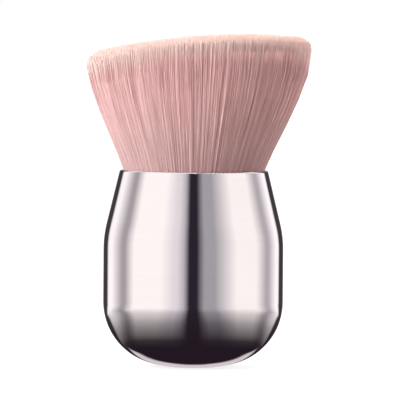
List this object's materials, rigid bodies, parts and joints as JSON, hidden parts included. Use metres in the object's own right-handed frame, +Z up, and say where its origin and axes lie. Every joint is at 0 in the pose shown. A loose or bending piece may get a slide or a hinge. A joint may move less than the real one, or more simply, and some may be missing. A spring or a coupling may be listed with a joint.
{
  "type": "kabuki makeup brush",
  "caption": "Kabuki makeup brush: short rounded mirror-finish metal handle and a dense flared fibre head trimmed to a slanted dome, for buffing powder over face and body.",
  "frame": {"origin": "centre of the flat foot on which the brush stands, on the handle's axis", "axes": "+Z up along the handle's axis to the fibre head, +X towards the taller side of the slanted head, +Y to the back"},
  "size_m": [0.0601, 0.0608, 0.0891],
  "materials": {
    "polished_metal": "mirror polished",
    "slug_steel": "turned",
    "casting_resin": "cured, glossy",
    "sleeve_plastic": "moulded, matte",
    "cup_aluminium": "drawn, bright",
    "binding_thread": "waxed",
    "brush_fibre": "soft synthetic fibre"
  },
  "bodies": {
    "root": {"handle_shell": "polished_metal", "ballast_slug": "slug_steel", "bedding_resin": "casting_resin", "core_sleeve": "sleeve_plastic", "neck_adhesive": "casting_resin", "ferrule_cup": "cup_aluminium", "root_plug": "casting_resin", "root_binding": "binding_thread", "fibre_tuft": "brush_fibre"}
  },
  "joints": []
}
